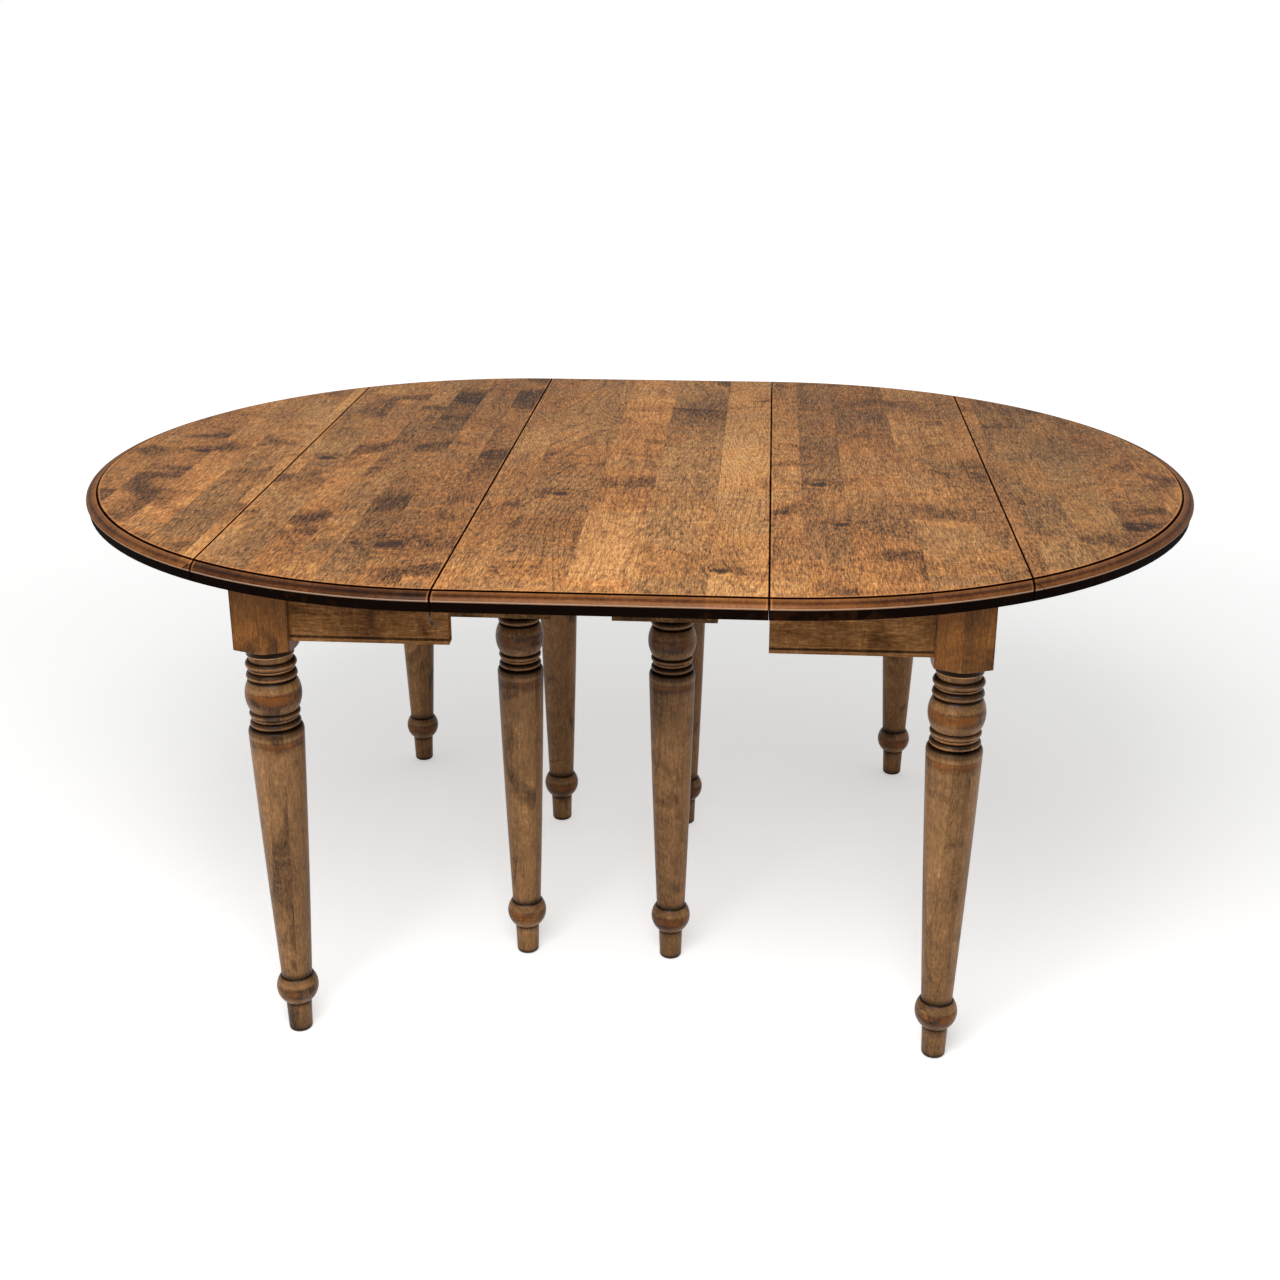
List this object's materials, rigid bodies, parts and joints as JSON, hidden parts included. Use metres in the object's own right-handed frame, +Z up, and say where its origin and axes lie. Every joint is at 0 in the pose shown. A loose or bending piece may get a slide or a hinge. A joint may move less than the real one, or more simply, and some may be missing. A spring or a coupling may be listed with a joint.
{
  "type": "drop leaf table",
  "caption": "Extending dining table with a round-ended wooden top: hinged drop leaves, a loose centre leaf, half frames on sliding runners and turned legs throughout.",
  "frame": {"origin": "on the floor under the middle of the centre leaf, which is also the middle of the whole top", "axes": "+X along the table to the right-hand drop leaf, +Y to its back edge, +Z up"},
  "size_m": [1.73, 1.3, 0.76],
  "materials": {
    "top_wood": "brown stain under satin varnish, worn along seams and border",
    "leaf_wood": "lighter brown stain under satin varnish",
    "leg_wood": "dark brown stain, darker in the turned grooves, satin varnish",
    "apron_wood": "brown stain, satin varnish",
    "inner_wood": "bare planed wood",
    "steel": "dull plated steel",
    "hinge_brass": "aged brass"
  },
  "bodies": {
    "middle_frame": {"cross_board_left": "inner_wood", "cross_board_right": "inner_wood", "middle_leg_front_left": "leg_wood", "middle_leg_front_right": "leg_wood", "middle_leg_back_left": "leg_wood", "middle_leg_back_right": "leg_wood", "middle_runners": "inner_wood", "runner_stop_pins": "steel", "middle_leg_screws": "steel", "middle_runner_screws": "steel"},
    "left_half": {"left_half_top": "top_wood", "left_front_apron": "apron_wood", "left_back_apron": "apron_wood", "left_end_apron": "apron_wood", "left_front_leg": "leg_wood", "left_back_leg": "leg_wood", "left_runners": "inner_wood", "left_runner_screws": "steel", "left_corner_braces": "inner_wood", "left_leg_bolts": "steel", "left_bolt_nuts": "steel", "left_glue_blocks": "inner_wood", "left_hinge_plates": "hinge_brass", "left_hinge_pins": "steel", "left_hinge_screws": "hinge_brass", "left_prop_brackets": "steel", "left_prop_screws": "steel", "left_prop_pins": "steel", "hook_eye": "steel"},
    "right_half": {"right_half_top": "top_wood", "right_front_apron": "apron_wood", "right_back_apron": "apron_wood", "right_end_apron": "apron_wood", "right_front_leg": "leg_wood", "right_back_leg": "leg_wood", "right_runners": "inner_wood", "right_runner_screws": "steel", "right_corner_braces": "inner_wood", "right_leg_bolts": "steel", "right_bolt_nuts": "steel", "right_glue_blocks": "inner_wood", "right_hinge_plates": "hinge_brass", "right_hinge_pins": "steel", "right_hinge_screws": "hinge_brass", "right_prop_brackets": "steel", "right_prop_screws": "steel", "right_prop_pins": "steel"},
    "left_leaf": {"left_drop_leaf": "top_wood", "left_leaf_flaps": "hinge_brass", "left_flap_screws": "hinge_brass"},
    "right_leaf": {"right_drop_leaf": "top_wood", "right_leaf_flaps": "hinge_brass", "right_flap_screws": "hinge_brass"},
    "left_props": {"left_leaf_props": "inner_wood"},
    "right_props": {"right_leaf_props": "inner_wood"},
    "centre_leaf_board": {"centre_leaf": "leaf_wood", "catch_eye": "steel"},
    "hook": {"leaf_hook": "steel"}
  },
  "joints": [
    {"name": "left_half_slide", "type": "slide", "parent": "middle_frame", "child": "left_half", "axis": [-1, 0, 0], "range_m": [0, 0.26]},
    {"name": "right_half_slide", "type": "slide", "parent": "middle_frame", "child": "right_half", "axis": [1, 0, 0], "range_m": [0, 0.17]},
    {"name": "centre_leaf_lift", "type": "slide", "parent": "middle_frame", "child": "centre_leaf_board", "axis": [0, 0, 1], "range_m": [0, 0.1]},
    {"name": "left_leaf_drop", "type": "hinge", "parent": "left_half", "child": "left_leaf", "pos_m": [-0.556, 0, 0.74], "axis": [0, -1, 0], "range_deg": [0, 90]},
    {"name": "right_leaf_drop", "type": "hinge", "parent": "right_half", "child": "right_leaf", "pos_m": [0.556, 0, 0.74], "axis": [0, 1, 0], "range_deg": [0, 90]},
    {"name": "left_props_fold", "type": "hinge", "parent": "left_half", "child": "left_props", "pos_m": [-0.525, 0, 0.655], "axis": [0, -1, 0], "range_deg": [0, 127]},
    {"name": "right_props_fold", "type": "hinge", "parent": "right_half", "child": "right_props", "pos_m": [0.525, 0, 0.655], "axis": [0, 1, 0], "range_deg": [0, 127]},
    {"name": "leaf_hook_swing", "type": "hinge", "parent": "left_half", "child": "hook", "pos_m": [-0.227, -0.588, 0.7235], "axis": [0, -1, 0], "range_deg": [0, 80]}
  ],
  "couplings": [
    {"joint": "left_props_fold", "follows": "left_leaf_drop", "ratio": 1.4},
    {"joint": "right_props_fold", "follows": "right_leaf_drop", "ratio": 1.4}
  ]
}
